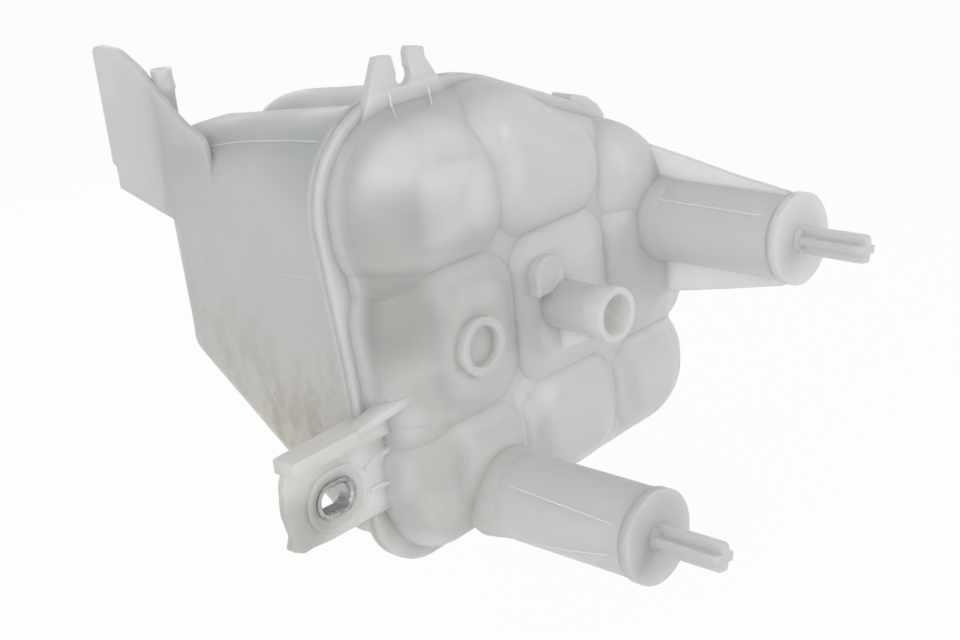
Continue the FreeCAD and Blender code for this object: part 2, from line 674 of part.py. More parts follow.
fin_thick = size("fin_thick")
fin_x = size("fin_x")
fin = shaped("wing", plate_x([
    (133.0, 104.0, 0), (134.5, 119.4, 6), (143.5, 123.0, 8), (149.4, 127.4, 8),
    (163.1, 139.6, 12), (173.1, 144.9, 12), (186.0, 145.4, 3), (185.1, 106.1, 0.6), (183.4, 105.2, 0.6),
    (183.2, 97.8, 1.0), (165.2, 92.9, 0), (150.0, 89.0, 0), (140.0, 94.0, 0)],
    fin_x + fin_thick / 2, fin_thick))
lug = shaped("cam_lug", plate_y([
    (73.0, 92, 0), (73.0, 110.5, 1.0), (80.2, 108.0, 6), (85.8, 103.8, 6), (88.6, 100.0, 0), (88.6, 88, 0)],
    seam, 9.0))

# Hose nipple behind the wing and the filler neck

nipple = [
    bar("nipple_tube", "Sizes.nipple_radius", "Sizes.nipple_top_z - Sizes.nipple_root_z",
        "Sizes.nipple_x", "Sizes.nipple_y", "Sizes.nipple_root_z", True),
    cone("nipple_bead", "Sizes.nipple_radius + 0.5", "Sizes.nipple_radius - 0.2", "5", "Sizes.nipple_x",
         "Sizes.nipple_y", "Sizes.nipple_top_z - 6.5", True),
]
nipple_hollow = bar("nipple_hollow", "Sizes.nipple_bore", "Sizes.nipple_top_z - Sizes.nipple_root_z + 9",
                    "Sizes.nipple_x", "Sizes.nipple_y", "Sizes.nipple_root_z - 8", True)
neck = [
    bar("neck_tube", "Sizes.mouth_bore + Sizes.mouth_wall", "Sizes.mouth_z - Sizes.right_top_z + 6",
        "Sizes.neck_x", "Sizes.neck_y", "Sizes.right_top_z - 6", True),
    bar("neck_bead", "Sizes.mouth_bore + Sizes.mouth_wall + Sizes.mouth_bead", "2.5",
        "Sizes.neck_x", "Sizes.neck_y", "Sizes.mouth_z - 12", True),
]
neck_hollow = bar("neck_hollow", "Sizes.mouth_bore", "Sizes.mouth_z - Sizes.right_top_z + 12",
                  "Sizes.neck_x", "Sizes.neck_y", "Sizes.right_top_z - 10", True)

rear_outside = fused("rear_outside", [hump_out, ridge_out, bay_out, collar_out, rear_flange, fin, lug] + nipple + neck)
rear_inside = fused("rear_inside", [hump_in, ridge_in, bay_in, collar_in, window, nipple_hollow, neck_hollow])
rear_shell = cut("rear_shell", rear_outside, rear_inside)

# Steel sleeve of the ear, an oval tube with chamfered slot edges

sleeve = doc.addObject("PartDesign::Body", "mounting_sleeve")
plane = [f for f in sleeve.Origin.OriginFeatures if f.Role == "XZ_Plane"][0]
sketch = sleeve.newObject("Sketcher::SketchObject", "sleeve_sketch")
sketch.AttachmentSupport = [(plane, "")]
sketch.MapMode = "FlatFace"


def slot_sketch(half, radius, span_expr, radius_expr):
    """Oval of two half circles and two straight runs, centred on the origin."""
    first = sketch.GeometryCount
    up = Vector(0, 0, 1)
    q = math.pi / 2
    sketch.addGeometry(Part.ArcOfCircle(Part.Circle(Vector(half, 0, 0), up, radius), -q, q))
    sketch.addGeometry(Part.LineSegment(Vector(half, radius, 0), Vector(-half, radius, 0)))
    sketch.addGeometry(Part.ArcOfCircle(Part.Circle(Vector(-half, 0, 0), up, radius), q, 3 * q))
    sketch.addGeometry(Part.LineSegment(Vector(-half, -radius, 0), Vector(half, -radius, 0)))
    for i in range(4):
        sketch.addConstraint(Sketcher.Constraint("Tangent", first + i, 2, first + (i + 1) % 4, 1))
    sketch.addConstraint(Sketcher.Constraint("Equal", first, first + 2))
    sketch.addConstraint(Sketcher.Constraint("Symmetric", first, 3, first + 2, 3, -1, 1))
    sketch.addConstraint(Sketcher.Constraint("Horizontal", first + 1))
    r_at = sketch.addConstraint(Sketcher.Constraint("Radius", first, radius))
    s_at = sketch.addConstraint(Sketcher.Constraint("DistanceX", first + 2, 3, first, 3, 2 * half))
    sketch.setExpression("Constraints[%d]" % r_at, radius_expr)
    sketch.setExpression("Constraints[%d]" % s_at, span_expr)


half_span = size("slot_span") / 2
slot_sketch(half_span, size("slot_radius"), "Sizes.slot_span", "Sizes.slot_radius")
slot_sketch(half_span, sleeve_out, "Sizes.slot_span", "Sizes.slot_radius + Sizes.sleeve_wall")
pad = sleeve.newObject("PartDesign::Pad", "sleeve_pad")
pad.Profile = sketch
pad.setExpression("Length", "Sizes.ear_thick + 2 * Sizes.sleeve_proud")
doc.recompute()
picked = []
for i, edge in enumerate(pad.Shape.Edges, 1):
    box = edge.BoundBox
    flat = box.YMax - box.YMin < 1e-4
    inner = max(abs(box.XMin), abs(box.XMax)) < half_span + size("slot_radius") + 0.1
    inner = inner and max(abs(box.ZMin), abs(box.ZMax)) < size("slot_radius") + 0.1
    if flat and inner:
        picked.append("Edge%d" % i)
chamfer = sleeve.newObject("PartDesign::Chamfer", "sleeve_edge")
chamfer.Base = (pad, picked)
chamfer.setExpression("Size", "Sizes.sleeve_edge")
sleeve.Tip = chamfer
sleeve.setExpression("Placement.Base.x", "Sizes.ear_x")
sleeve.setExpression("Placement.Base.y", "Sizes.seam_y + Sizes.sleeve_proud")
sleeve.setExpression("Placement.Base.z", "Sizes.ear_z")
doc.recompute()

# Check and write

for piece in doc.Objects:
    if "Invalid" in piece.State or "Error" in piece.State:
        raise RuntimeError("%s failed: %s" % (piece.Name, piece.State))
for node in (front_shell, rear_shell, sleeve):
    node.Label = node.Name
    shape = node.Shape
    if shape.isNull() or not shape.isValid():
        raise RuntimeError("%s has no valid shape" % node.Name)
    if len(shape.Solids) != 1:
        raise RuntimeError("%s has %d solids" % (node.Name, len(shape.Solids)))
    box = shape.BoundBox
    print("%s volume %.1f cm3, x %.1f to %.1f, y %.1f to %.1f, z %.1f to %.1f" % (
        node.Name, shape.Volume / 1000, box.XMin, box.XMax, box.YMin, box.YMax, box.ZMin, box.ZMax))
    shape.exportStep("parts/%s.step" % node.Name)
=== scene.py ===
# %% [markdown]
# # Dressing the coolant expansion tank
# The tank is a closed bottle of milky polypropylene: a pillowed front half and a deeper rear half
# that are welded together at a flat flange, with a steel sleeve pressed into the mounting ear. The
# CAD model already has the right shapes, so it stays as it is, and this lesson adds a camera, light,
# finishes and the finest mould lines. A hand-modelled copy of the shells would only drift away from
# the measured ones.

# %% Load the tank
import math

import bpy
from mathutils import Matrix, Vector
from mathutils.bvhtree import BVHTree


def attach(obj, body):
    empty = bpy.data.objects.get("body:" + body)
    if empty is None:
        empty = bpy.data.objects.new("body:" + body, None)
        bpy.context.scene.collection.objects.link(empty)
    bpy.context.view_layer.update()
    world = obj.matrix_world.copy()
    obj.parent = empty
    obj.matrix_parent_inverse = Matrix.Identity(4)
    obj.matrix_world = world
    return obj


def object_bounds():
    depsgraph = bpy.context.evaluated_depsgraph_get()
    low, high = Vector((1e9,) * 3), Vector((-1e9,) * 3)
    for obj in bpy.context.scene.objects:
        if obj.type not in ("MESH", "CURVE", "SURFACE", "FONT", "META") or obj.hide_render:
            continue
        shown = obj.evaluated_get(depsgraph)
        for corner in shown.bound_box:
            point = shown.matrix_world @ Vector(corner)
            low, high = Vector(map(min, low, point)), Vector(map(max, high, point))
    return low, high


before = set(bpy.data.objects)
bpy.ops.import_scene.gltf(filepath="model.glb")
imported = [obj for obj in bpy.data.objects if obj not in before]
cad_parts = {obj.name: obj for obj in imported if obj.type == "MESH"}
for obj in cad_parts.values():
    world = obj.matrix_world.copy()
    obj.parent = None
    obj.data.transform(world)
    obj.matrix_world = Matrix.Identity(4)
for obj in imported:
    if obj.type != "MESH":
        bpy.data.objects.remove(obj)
cad_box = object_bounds()
print("nodes:", sorted(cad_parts))
print("cad box:", [round(v, 4) for corner in cad_box for v in corner])

# %% [markdown]
# ## The camera
# The photograph is one view of a real object, so its camera can be solved from the round ends of
# the two posts and from the directions of the seams. A lens could be guessed and nudged by eye, but
# a solved one also fixes the perspective: the posts shrink with distance by the right amount. Three
# unit vectors give the camera's turn, as the columns of a matrix.

# %% Place the camera
SENSOR_WIDTH, LENS = 36.0, 68.15
NEAREST = 0.01
CAMERA_AT = Vector((-0.3728, -0.3126, 0.2496))
TANK_MIDDLE = Vector((0.02, 0.08, 0.06))

camera_data = bpy.data.cameras.new("studio_camera")
camera_data.sensor_width, camera_data.lens = SENSOR_WIDTH, LENS
camera_data.clip_start = NEAREST
camera = bpy.data.objects.new("studio_camera", camera_data)
bpy.context.scene.collection.objects.link(camera)

to_right = Vector((0.68288884, -0.72371238, -0.09951487))
to_below = Vector((-0.3128679, -0.16664254, -0.9350636))
to_tank = Vector((0.6601337, 0.66967951, -0.34022471))
turn = Matrix((to_right, -to_below, -to_tank)).transposed().to_4x4()
camera.matrix_world = Matrix.Translation(CAMERA_AT) @ turn
bpy.context.scene.camera = camera
print("camera to tank:", round((CAMERA_AT - TANK_MIDDLE).length, 3), "m")

# %% [markdown]
# ## Small tools for node trees
# A finish in Blender is a tree of nodes that pass numbers and colours along. Each node could be
# wired by hand in the editor, but a finish that is used on several pieces is easier to read as
# sentences. Each helper adds a node or a short chain, wires it, and hands back the result's socket.

# %% Helpers for numbers
def sums(tree, kind, a, b=0.0):
    """One sum of two values; each is a number or a socket."""
    node = tree.nodes.new("ShaderNodeMath")
    node.operation = kind
    for i, value in enumerate((a, b)):
        if isinstance(value, (int, float)):
            node.inputs[i].default_value = value
        else:
            tree.links.new(value, node.inputs[i])
    return node.outputs[0]


def all_of(tree, masks):
    """The product of masks: a spot counts only where every mask does."""
    product = masks[0]
    for mask in masks[1:]:
        product = sums(tree, "MULTIPLY", product, mask)
    return product


def strongest(tree, masks):
    """The highest of some masks: a spot counts where any mask does."""
    top = masks[0]
    for mask in masks[1:]:
        top = sums(tree, "MAXIMUM", top, mask)
    return top


def stepped(tree, value, low, high, out_low=0.0, out_high=1.0, kind="SMOOTHSTEP"):
    """A step from out_low to out_high while the value goes from low to high."""
    step = tree.nodes.new("ShaderNodeMapRange")
    step.interpolation_type = kind
    tree.links.new(value, step.inputs["Value"])
    limits = {"From Min": low, "From Max": high, "To Min": out_low, "To Max": out_high}
    for title, number in limits.items():
        step.inputs[title].default_value = number
    return step.outputs["Result"]


def seen_by(tree, rays):
    """Mask that is 1 for the named kinds of ray and 0 for the rest."""
    path = tree.nodes.new("ShaderNodeLightPath")
    return strongest(tree, [path.outputs[f"Is {ray} Ray"] for ray in rays])


print("number helpers ready: sums, all_of, strongest, stepped, seen_by")

# %% [markdown]
# ## The table
# The real tank hangs on its pins, and it was photographed against white. A pale floor well below it
# keeps a soft shadow without touching the object. Raising the lamps until the floor burns out would
# give white as well, but it would also wash out the plastic, so the paper glows a little for the
# rays that are seen directly, and stays plain paper for the light that falls on the tank.

# %% Make the floor
FLOOR_BELOW, FLOOR_SIDE = 0.16, 12.0
PAPER_COLOUR, PAPER_GLOW = (0.92, 0.92, 0.92, 1), 0.93
floor_z, half = cad_box[0][2] - FLOOR_BELOW, FLOOR_SIDE / 2

sheet = bpy.data.meshes.new("floor")
floor_corners = [(i * half, j * half, floor_z) for i, j in ((-1, -1), (1, -1), (1, 1), (-1, 1))]
sheet.from_pydata(floor_corners, [], [(0, 1, 2, 3)])
floor = bpy.data.objects.new("floor", sheet)
bpy.context.scene.collection.objects.link(floor)

paper = bpy.data.materials.new("white_paper")
paper.use_nodes = True
paper_tree = paper.node_tree
paper_skin = paper_tree.nodes["Principled BSDF"]
paper_skin.inputs["Base Color"].default_value = PAPER_COLOUR
paper_skin.inputs["Roughness"].default_value = 0.9
paper_skin.inputs["Specular IOR Level"].default_value = 0.1
glow = paper_tree.nodes.new("ShaderNodeEmission")
glow.inputs["Color"].default_value = (1, 1, 1, 1)
glow.inputs["Strength"].default_value = 1.0
seen_paper = seen_by(paper_tree, ("Camera", "Glossy", "Transmission"))
blend = paper_tree.nodes.new("ShaderNodeMixShader")
paper_tree.links.new(sums(paper_tree, "MULTIPLY", seen_paper, PAPER_GLOW), blend.inputs[0])
paper_tree.links.new(paper_skin.outputs[0], blend.inputs[1])
paper_tree.links.new(glow.outputs[0], blend.inputs[2])
paper_tree.links.new(blend.outputs[0], paper_tree.nodes["Material Output"].inputs["Surface"])
floor.data.materials.append(paper)
print("floor at z", round(floor_z, 3))

# %% [markdown]
# ## The light
# Milky plastic shows its shape through soft gradients, so the lamps are large panels: a key from
# the upper left, a weaker one from the right that fills the lobes, one behind that shines through
# the thin webs, and a faint one low on the left that lifts the underside. One small lamp would give
# hard glints that the photograph doesn't have.

# %% Hang the lamps
PANELS = [  # name, place, width and height in metres, power in watts
    ("key_panel", (-1.0, -0.55, 0.85), 0.7, 0.7, 5.2),
    ("fill_panel", (0.5, -1.1, 0.35), 0.45, 0.45, 4.0),
    ("back_panel", (0.4, 1.1, 0.5), 0.8, 0.8, 1.4),
    ("low_panel", (-0.9, -0.5, -0.05), 0.6, 0.3, 0.8),
]
for name, place, width, height, power in PANELS:
    data = bpy.data.lights.new(name, "AREA")
    data.shape = "RECTANGLE"
    data.size, data.size_y, data.energy = width, height, power
    lamp = bpy.data.objects.new(name, data)
    lamp.location = place
    lamp.rotation_euler = (TANK_MIDDLE - Vector(place)).to_track_quat("-Z", "Y").to_euler()
    bpy.context.scene.collection.objects.link(lamp)
    print(name, power, "W")

# %% [markdown]
# ## The room
# A white room lights the sides of the tank more than its top, as walls of paper round a table do.
# One even white would be simpler, but it would lift the tops of the lobes to the brightness of
# their fronts. A gradient by height does it, while direct rays still see pure white.

# %% Paint the room
SIDE_LIGHT, TOP_LIGHT, FULL_HEIGHT = 1.0, 0.45, 0.9
world = bpy.data.worlds.new("white_room")
world.use_nodes = True
bpy.context.scene.world = world
room_tree = world.node_tree
room = room_tree.nodes["Background"]
room.inputs["Color"].default_value = (0.99, 0.99, 1.0, 1)
sky = room_tree.nodes.new("ShaderNodeTexCoord")
sky_axes = room_tree.nodes.new("ShaderNodeSeparateXYZ")
room_tree.links.new(sky.outputs["Generated"], sky_axes.inputs[0])
fall = stepped(room_tree, sky_axes.outputs["Z"], 0.0, FULL_HEIGHT, SIDE_LIGHT, TOP_LIGHT, "LINEAR")
room_tree.links.new(fall, room.inputs["Strength"])
white = room_tree.nodes.new("ShaderNodeBackground")
white.inputs["Color"].default_value = (1, 1, 1, 1)
white.inputs["Strength"].default_value = 1.0
backdrop = room_tree.nodes.new("ShaderNodeMixShader")
room_tree.links.new(seen_by(room_tree, ("Camera", "Transmission")), backdrop.inputs[0])
room_tree.links.new(room.outputs[0], backdrop.inputs[1])
room_tree.links.new(white.outputs[0], backdrop.inputs[2])
room_tree.links.new(backdrop.outputs[0], room_tree.nodes["World Output"].inputs["Surface"])
bpy.context.scene.view_settings.view_transform = "Standard"
print("room strength from", SIDE_LIGHT, "at the sides to", TOP_LIGHT, "overhead")

# %% [markdown]
# ## Milky plastic in parts
# Natural polypropylene is clear but full of tiny crystals, so light wanders inside the wall before
# it comes out. Its finish is built from three shader groups: painted light and shade for how thin
# or deep the wall is, its tint and stains with painted shade on the top, and its skin. One big tree
# would do, but a group can be shared by both mouldings, each with its own values, and can be read
# by itself.

# %% Helpers for groups and noise
NUMBER, COLOUR = "NodeSocketFloat", "NodeSocketColor"


def group(name, inputs, outputs):
    tree = bpy.data.node_groups.new(name, "ShaderNodeTree")
    for title, kind, value in inputs:
        socket = tree.interface.new_socket(title, in_out="INPUT", socket_type=kind)
        socket.default_value = value
    for title, kind in outputs:
        tree.interface.new_socket(title, in_out="OUTPUT", socket_type=kind)
    return tree, tree.nodes.new("NodeGroupInput"), tree.nodes.new("NodeGroupOutput")


def clouds(tree, where, scale, detail, rough=0.55):
    """Noise between 0 and 1; its scale is a number or a socket."""
    noise = tree.nodes.new("ShaderNodeTexNoise")
    noise.inputs["Detail"].default_value = detail
    noise.inputs["Roughness"].default_value = rough
    tree.links.new(where, noise.inputs["Vector"])
    if isinstance(scale, (int, float)):
        noise.inputs["Scale"].default_value = scale
    else:
        tree.links.new(scale, noise.inputs["Scale"])
    return noise.outputs["Fac"]


def mixed(tree, factor, a, b):
    """Colour a with a share of colour b over it."""
    node = tree.nodes.new("ShaderNodeMix")
    node.data_type = "RGBA"
    for title, value in (("Factor", factor), ("A", a), ("B", b)):
        socket = next(s for s in node.inputs if s.name == title and s.enabled)
        if isinstance(value, (tuple, float, int)):
            socket.default_value = value
        else:
            tree.links.new(value, socket)
    return next(s for s in node.outputs if s.enabled)


def squeezed(tree, where, scale):
    """The spot, stretched along each axis by one over the scale."""
    node = tree.nodes.new("ShaderNodeMapping")
    node.inputs["Scale"].default_value = scale
    tree.links.new(where, node.inputs["Vector"])
    return node.outputs[0]


print("group helpers ready: group, clouds, mixed, squeezed")

# %% [markdown]
# ## Painted light and shade where the wall is thin or deep
# Milky plastic looks paler where a single wall has light behind it, and greyer where a deep chamber
# lies behind it. That could be left to a physical volume, which is slow and can't be exported. Here
# masks paint that light and shade into the colour, at places found by measures that a maker would
# use: the distance from a post's axis, from a groove, or from a seam. Some masks also paint
# highlights, and light into shaded corners. They belong to the tank and not to the camera, so they
# work from every side and in the exported model. The measures of all masks are in millimetres.

# %% Helpers for measures on the tank
MM = 1000
FROM_FRONT, FROM_ABOVE = (1.0, 0.0, 1.0), (1.0, 1.0, 0.0)


def spot_and_axes(tree):
    """The spot on the tank, and its x, y and z."""
    spot = tree.nodes.new("ShaderNodeTexCoord").outputs["Object"]
    axes = tree.nodes.new("ShaderNodeSeparateXYZ")
    tree.links.new(spot, axes.inputs[0])
    return spot, *axes.outputs


def between_spots(tree, kind, a, b):
    node = tree.nodes.new("ShaderNodeVectorMath")
    node.operation = kind
    tree.links.new(a, node.inputs[0])
    node.inputs[1].default_value = b
    return node.outputs["Value" if kind == "DISTANCE" else "Vector"]


def away_from(tree, spot, centre, flat_way=None):
    """Distance from a centre, or from an axis when one direction is flattened first."""
    if flat_way:
        spot = between_spots(tree, "MULTIPLY", spot, flat_way)
    return between_spots(tree, "DISTANCE", spot, tuple(v / MM for v in centre))


def beyond(tree, value, start, end, out_low=0.0, out_high=1.0):
    """Mask that rises from 0 at start to 1 at end, whichever of the two is larger."""
    return stepped(tree, value, start / MM, end / MM, out_low, out_high)


def near(tree, spot, centre, inner, outer):
    """Mask of a soft ball: 1 within inner of the centre, 0 beyond outer."""
    return stepped(tree, away_from(tree, spot, centre), inner / MM, outer / MM, 1.0, 0.0)


def close_to(tree, value, at, inner, outer):
    """Mask of a soft slab: 1 within inner of one value, 0 beyond outer."""
    away = sums(tree, "ABSOLUTE", sums(tree, "SUBTRACT", value, at / MM))
    return beyond(tree, away, outer, inner)


print("measure helpers ready: away_from, beyond, near, close_to")

# %% [markdown]
# ## Painted light in the posts and vent nipple
# The two posts and the nipple are single thin tubes with air inside, the palest parts of the tank:
# their pale colour is painted light that shines through the thin wall. They could be painted face
# by face, but a mask by distance from the axis also fades where a post flares into the wall. The
# end discs are thick, so each mask starts behind its disc.

# %% Mask: painted light in thin tubes
LOWER_POST, UPPER_POST, NIPPLE = (0, 0, 0), (87.8, 0, 66.4), (-38, 158, 0)
POST_EDGE, NIPPLE_EDGE = (18, 16.5), (4.2, 4.0)
LOWER_DISC_BACK, UPPER_DISC_BACK = (4.2, 4.4), (9.9, 10.1)
POST_FADE, NIPPLE_FADE = (60, 46), (104, 112)
MASKS = ("Painted web light", "Painted solid shade", "Post", "Painted light", "Painted shade")

painted_shading, _, painted_shading_out = group("painted_light_and_shade", [], [(title, NUMBER) for title in MASKS])
spot, x, y, z = spot_and_axes(painted_shading)
off_lower = away_from(painted_shading, spot, LOWER_POST, FROM_FRONT)
off_upper = away_from(painted_shading, spot, UPPER_POST, FROM_FRONT)
off_nipple = away_from(painted_shading, spot, NIPPLE, FROM_ABOVE)
on_lower, on_upper = beyond(painted_shading, off_lower, *POST_EDGE), beyond(painted_shading, off_upper, *POST_EDGE)
behind_discs = strongest(painted_shading, [all_of(painted_shading, [on_lower, beyond(painted_shading, y, *LOWER_DISC_BACK)]),
                                 all_of(painted_shading, [on_upper, beyond(painted_shading, y, *UPPER_DISC_BACK)])])
light_on_posts = all_of(painted_shading, [behind_discs, beyond(painted_shading, y, *POST_FADE)])
light_on_nipple = all_of(painted_shading, [beyond(painted_shading, off_nipple, *NIPPLE_EDGE), beyond(painted_shading, z, *NIPPLE_FADE)])
# painted light through the posts and the nipple
painted_shading.links.new(strongest(painted_shading, [light_on_posts, light_on_nipple]), painted_shading_out.inputs["Post"])
print("tubes marked:", len(painted_shading.nodes), "nodes")

# %% [markdown]
# ## Painted light in the web, painted shade on solid pieces
# The web that braces the upper post is a sheet of under 3 mm with light on both sides, painted in as
# a paler colour. The wing, the fork, the pins and the small bosses are solid or lie flat against a
# wall, so no light comes through them, and their greyer colour is painted shade. One mask for both
# would flatten the difference, so each gets its own.

# %% Masks: painted light in the web, painted shade on solid pieces
WEB_SHEET, WEB_STARTS, WEB_ENDS = (87.8, 1.5, 1.9), (15.0, 15.6), (80, 76)
WING_FACE, WING_FRONT = (-41.15, -41.35), (125, 130)
WING_CLEAR_BACK, WING_CLEAR_TOP = (146, 166), (118, 126)
FORK_FOOT, FORK_BACK = (131.5, 133), (95, 90)
PIN_ROOT, BOSS_FACE = (4.4, 4.2), (59.9, 59.4)
RING_BALL, ARCHED_BALL = ((-7.6, 57, 52.8), 11, 12), ((22.5, 57, 70), 8, 9)

# painted light in the thin web
light_in_web = all_of(painted_shading, [close_to(painted_shading, x, *WEB_SHEET), beyond(painted_shading, off_upper, *WEB_STARTS),
                        beyond(painted_shading, y, *WEB_ENDS)])
painted_shading.links.new(light_in_web, painted_shading_out.inputs["Painted web light"])

# painted shade on the wing, the fork, the pins and the bosses
wing_clear = strongest(painted_shading, [beyond(painted_shading, y, *WING_CLEAR_BACK), beyond(painted_shading, z, *WING_CLEAR_TOP)])
wing = all_of(painted_shading, [beyond(painted_shading, x, *WING_FACE), beyond(painted_shading, y, *WING_FRONT), wing_clear])
fork = all_of(painted_shading, [beyond(painted_shading, z, *FORK_FOOT), beyond(painted_shading, y, *FORK_BACK)])
pins = all_of(painted_shading, [strongest(painted_shading, [on_lower, on_upper]), beyond(painted_shading, y, *PIN_ROOT)])
boss_places = strongest(painted_shading, [near(painted_shading, spot, *RING_BALL), near(painted_shading, spot, *ARCHED_BALL)])
bosses = all_of(painted_shading, [beyond(painted_shading, y, *BOSS_FACE), boss_places])
painted_shading.links.new(strongest(painted_shading, [wing, fork, pins, bosses]), painted_shading_out.inputs["Painted solid shade"])
print("web and solid pieces marked:", len(painted_shading.nodes), "nodes")

# %% [markdown]
# ## Painted light: grooves, lip, lobe edges and shaded corners
# Between the lobes the front wall meets the light from both sides, and so does the flange's lip; a
# paler colour paints that light and lifts the shade in the grooves. Soft balls paint highlights on
# the upper edges of the top lobes, and light into shaded places beside the ear, in and under the
# hose pipe, below the left lobe and on the bottom lip, and the right of the tank is painted a little
# paler too. The grooves could be found from the curvature of the mesh, but that changes with the
# mesh. Slabs round the groove lines, and soft balls at a few corners, stay where the mould put them.

# %% Mask: painted light
GROOVE_HALF, LOW_ROW, RIGHT_OF_RING = (1.5, 5.0), (31, 27), (12, 17)
LEVEL_GROOVE_Z, UPRIGHT_GROOVES_X = 28.5, (15, 60)
ON_FRONT_WALL = ((80, 74), (57, 59))
LIP_LEFT, LIP_SLAB, LIP_ABOVE_EAR, LIP_LIGHT_SHARE = (-30, -33), (82, 3.5, 5.0), (32, 38), 0.6
RIGHT_SIDE, RIGHT_LIGHT_SHARE = (-10, 30), 0.45
# soft balls of painted light: highlights on the lobe edges, light in shaded places elsewhere
PAINTED_LIGHT_BALLS = [  # centre, inner and outer radius
    ((8, 62, 102), 8, 20), ((-10, 63, 113), 6, 18), ((-26, 67, 116), 4, 15),  # lobe edges
    ((-36, 79, 15), 7, 13), ((-44, 78, 20), 3, 12),                           # ribs beside the ear
    ((31, 50, 54), 10, 14), ((31, 44, 54), 6.9, 7.6),                         # hose pipe and its bore
    ((30, 57, 46), 8, 12),                                                    # web under the pipe
    ((-34, 72, 35), 5, 12),                                                   # below the left lobe
    ((-24, 79, -14), 6, 14),                                                  # bottom lip
]

# paler grooves: painted light that lifts the shade between the lobes
upright = strongest(painted_shading, [close_to(painted_shading, x, at, *GROOVE_HALF) for at in UPRIGHT_GROOVES_X])
level = close_to(painted_shading, z, LEVEL_GROOVE_Z, *GROOVE_HALF)
grooves = strongest(painted_shading, [all_of(painted_shading, [level, beyond(painted_shading, x, *RIGHT_OF_RING)]),
                            all_of(painted_shading, [upright, beyond(painted_shading, z, *LOW_ROW)])])
groove_light = all_of(painted_shading, [grooves] + [beyond(painted_shading, y, *limit) for limit in ON_FRONT_WALL])
# paler lip and right side: painted light
lip_light = all_of(painted_shading, [beyond(painted_shading, x, *LIP_LEFT), close_to(painted_shading, y, *LIP_SLAB),
                     beyond(painted_shading, z, *LIP_ABOVE_EAR), LIP_LIGHT_SHARE])
right_side_light = beyond(painted_shading, x, *RIGHT_SIDE, out_high=RIGHT_LIGHT_SHARE)
painted_light_balls = [near(painted_shading, spot, *ball) for ball in PAINTED_LIGHT_BALLS]
painted_shading.links.new(strongest(painted_shading, [groove_light, lip_light, right_side_light] + painted_light_balls), painted_shading_out.inputs["Painted light"])
print("pale places marked:", len(painted_shading.nodes), "nodes")

# %% [markdown]
# ## Painted shade on the deep chambers
# The lobes on the left have the full depth of the tank behind them and drink most of the light, and
# the foot of the ear is thick; the darker colour of both is painted shade. A darker colour for the
# whole left would show an edge, so soft balls with a share each overlap there, and only the
# strongest of them counts.

# %% Mask: painted shade
# soft balls of painted shade on the left lobes
PAINTED_SHADE_BALLS = [  # centre, inner and outer radius, share
    ((-34, 68, 69), 7, 27, 0.85), ((-33, 66, 95), 6, 20, 0.55), ((-24, 63, 70), 4, 20, 0.55),
    ((-27, 64, 42), 3, 14, 0.4), ((-24, 66, 18), 4, 14, 0.35), ((8, 60, 66), 14, 36, 0.28),
]
LOBES_END, EAR_FOOT_SHADE_BALL, EAR_SHADE_SHARE = (79, 74), ((-76, 79, 7), 10, 24), 0.85

painted_shades = [all_of(painted_shading, [near(painted_shading, spot, centre, inner, outer), share])
          for centre, inner, outer, share in PAINTED_SHADE_BALLS]
shade_on_lobes = all_of(painted_shading, [strongest(painted_shading, painted_shades), beyond(painted_shading, y, *LOBES_END)])
# painted shade at the foot of the ear
shade_at_ear_foot = all_of(painted_shading, [near(painted_shading, spot, *EAR_FOOT_SHADE_BALL), EAR_SHADE_SHARE])
painted_shading.links.new(strongest(painted_shading, [shade_on_lobes, shade_at_ear_foot]), painted_shading_out.inputs["Painted shade"])
print("painted_light_and_shade has", len(painted_shading.nodes), "nodes")

# %% [markdown]
# ## Tint, stains and painted shade on the top
# Old coolant leaves the lower walls a little warm, with faint streaks and a few dark specks, while
# the top stays cool and clean. The cool colour of the top is also darker than the plain one: painted
# shade on the top, strongest on the rear shell. A painted picture could hold that, but it would need
# a flat layout of the surface. Noise that follows the tank's own height needs none, and it can't be
# stretched at the seams.

# %% Shader group: cloudy tint and painted shade on the top
COOL_SHADED_TOP_FROM, WARM_FROM = (85, 125), (100, 10)
REARWARD, REARWARD_SHARE = (50, 120), (0.35, 1.0)
HEIGHT_DRIFT, STREAK_STRETCH = 60 / MM, (1.0, 1.0, 0.45)
STAIN_COLOUR, SPECK_COLOUR = (0.40, 0.36, 0.29, 1), (0.16, 0.14, 0.12, 1)
PATCH_COLOUR, PATCH_SHARE, SPECK_SHARE = (0.72, 0.72, 0.71, 1), 0.10, 0.4

tint, tint_in, tint_out = group(
    "cloudy_tint_and_top_shade",
    [("Plain", COLOUR, (0.56, 0.56, 0.55, 1)), ("Cool shaded top", COLOUR, (0.52, 0.55, 0.545, 1)),
     ("Warm", COLOUR, (0.56, 0.54, 0.49, 1)), ("Cloud size", NUMBER, 16.0), ("Stain share", NUMBER, 0.3)],
    [("Colour", COLOUR)],
)
spot, _, y, z = spot_and_axes(tint)
cloud = clouds(tint, spot, tint_in.outputs["Cloud size"], 1.0)
drift = sums(tint, "MULTIPLY", sums(tint, "SUBTRACT", cloud, 0.5), HEIGHT_DRIFT)
height = sums(tint, "ADD", z, drift)
warmth = all_of(tint, [beyond(tint, height, *WARM_FROM), beyond(tint, y, *REARWARD, *REARWARD_SHARE)])
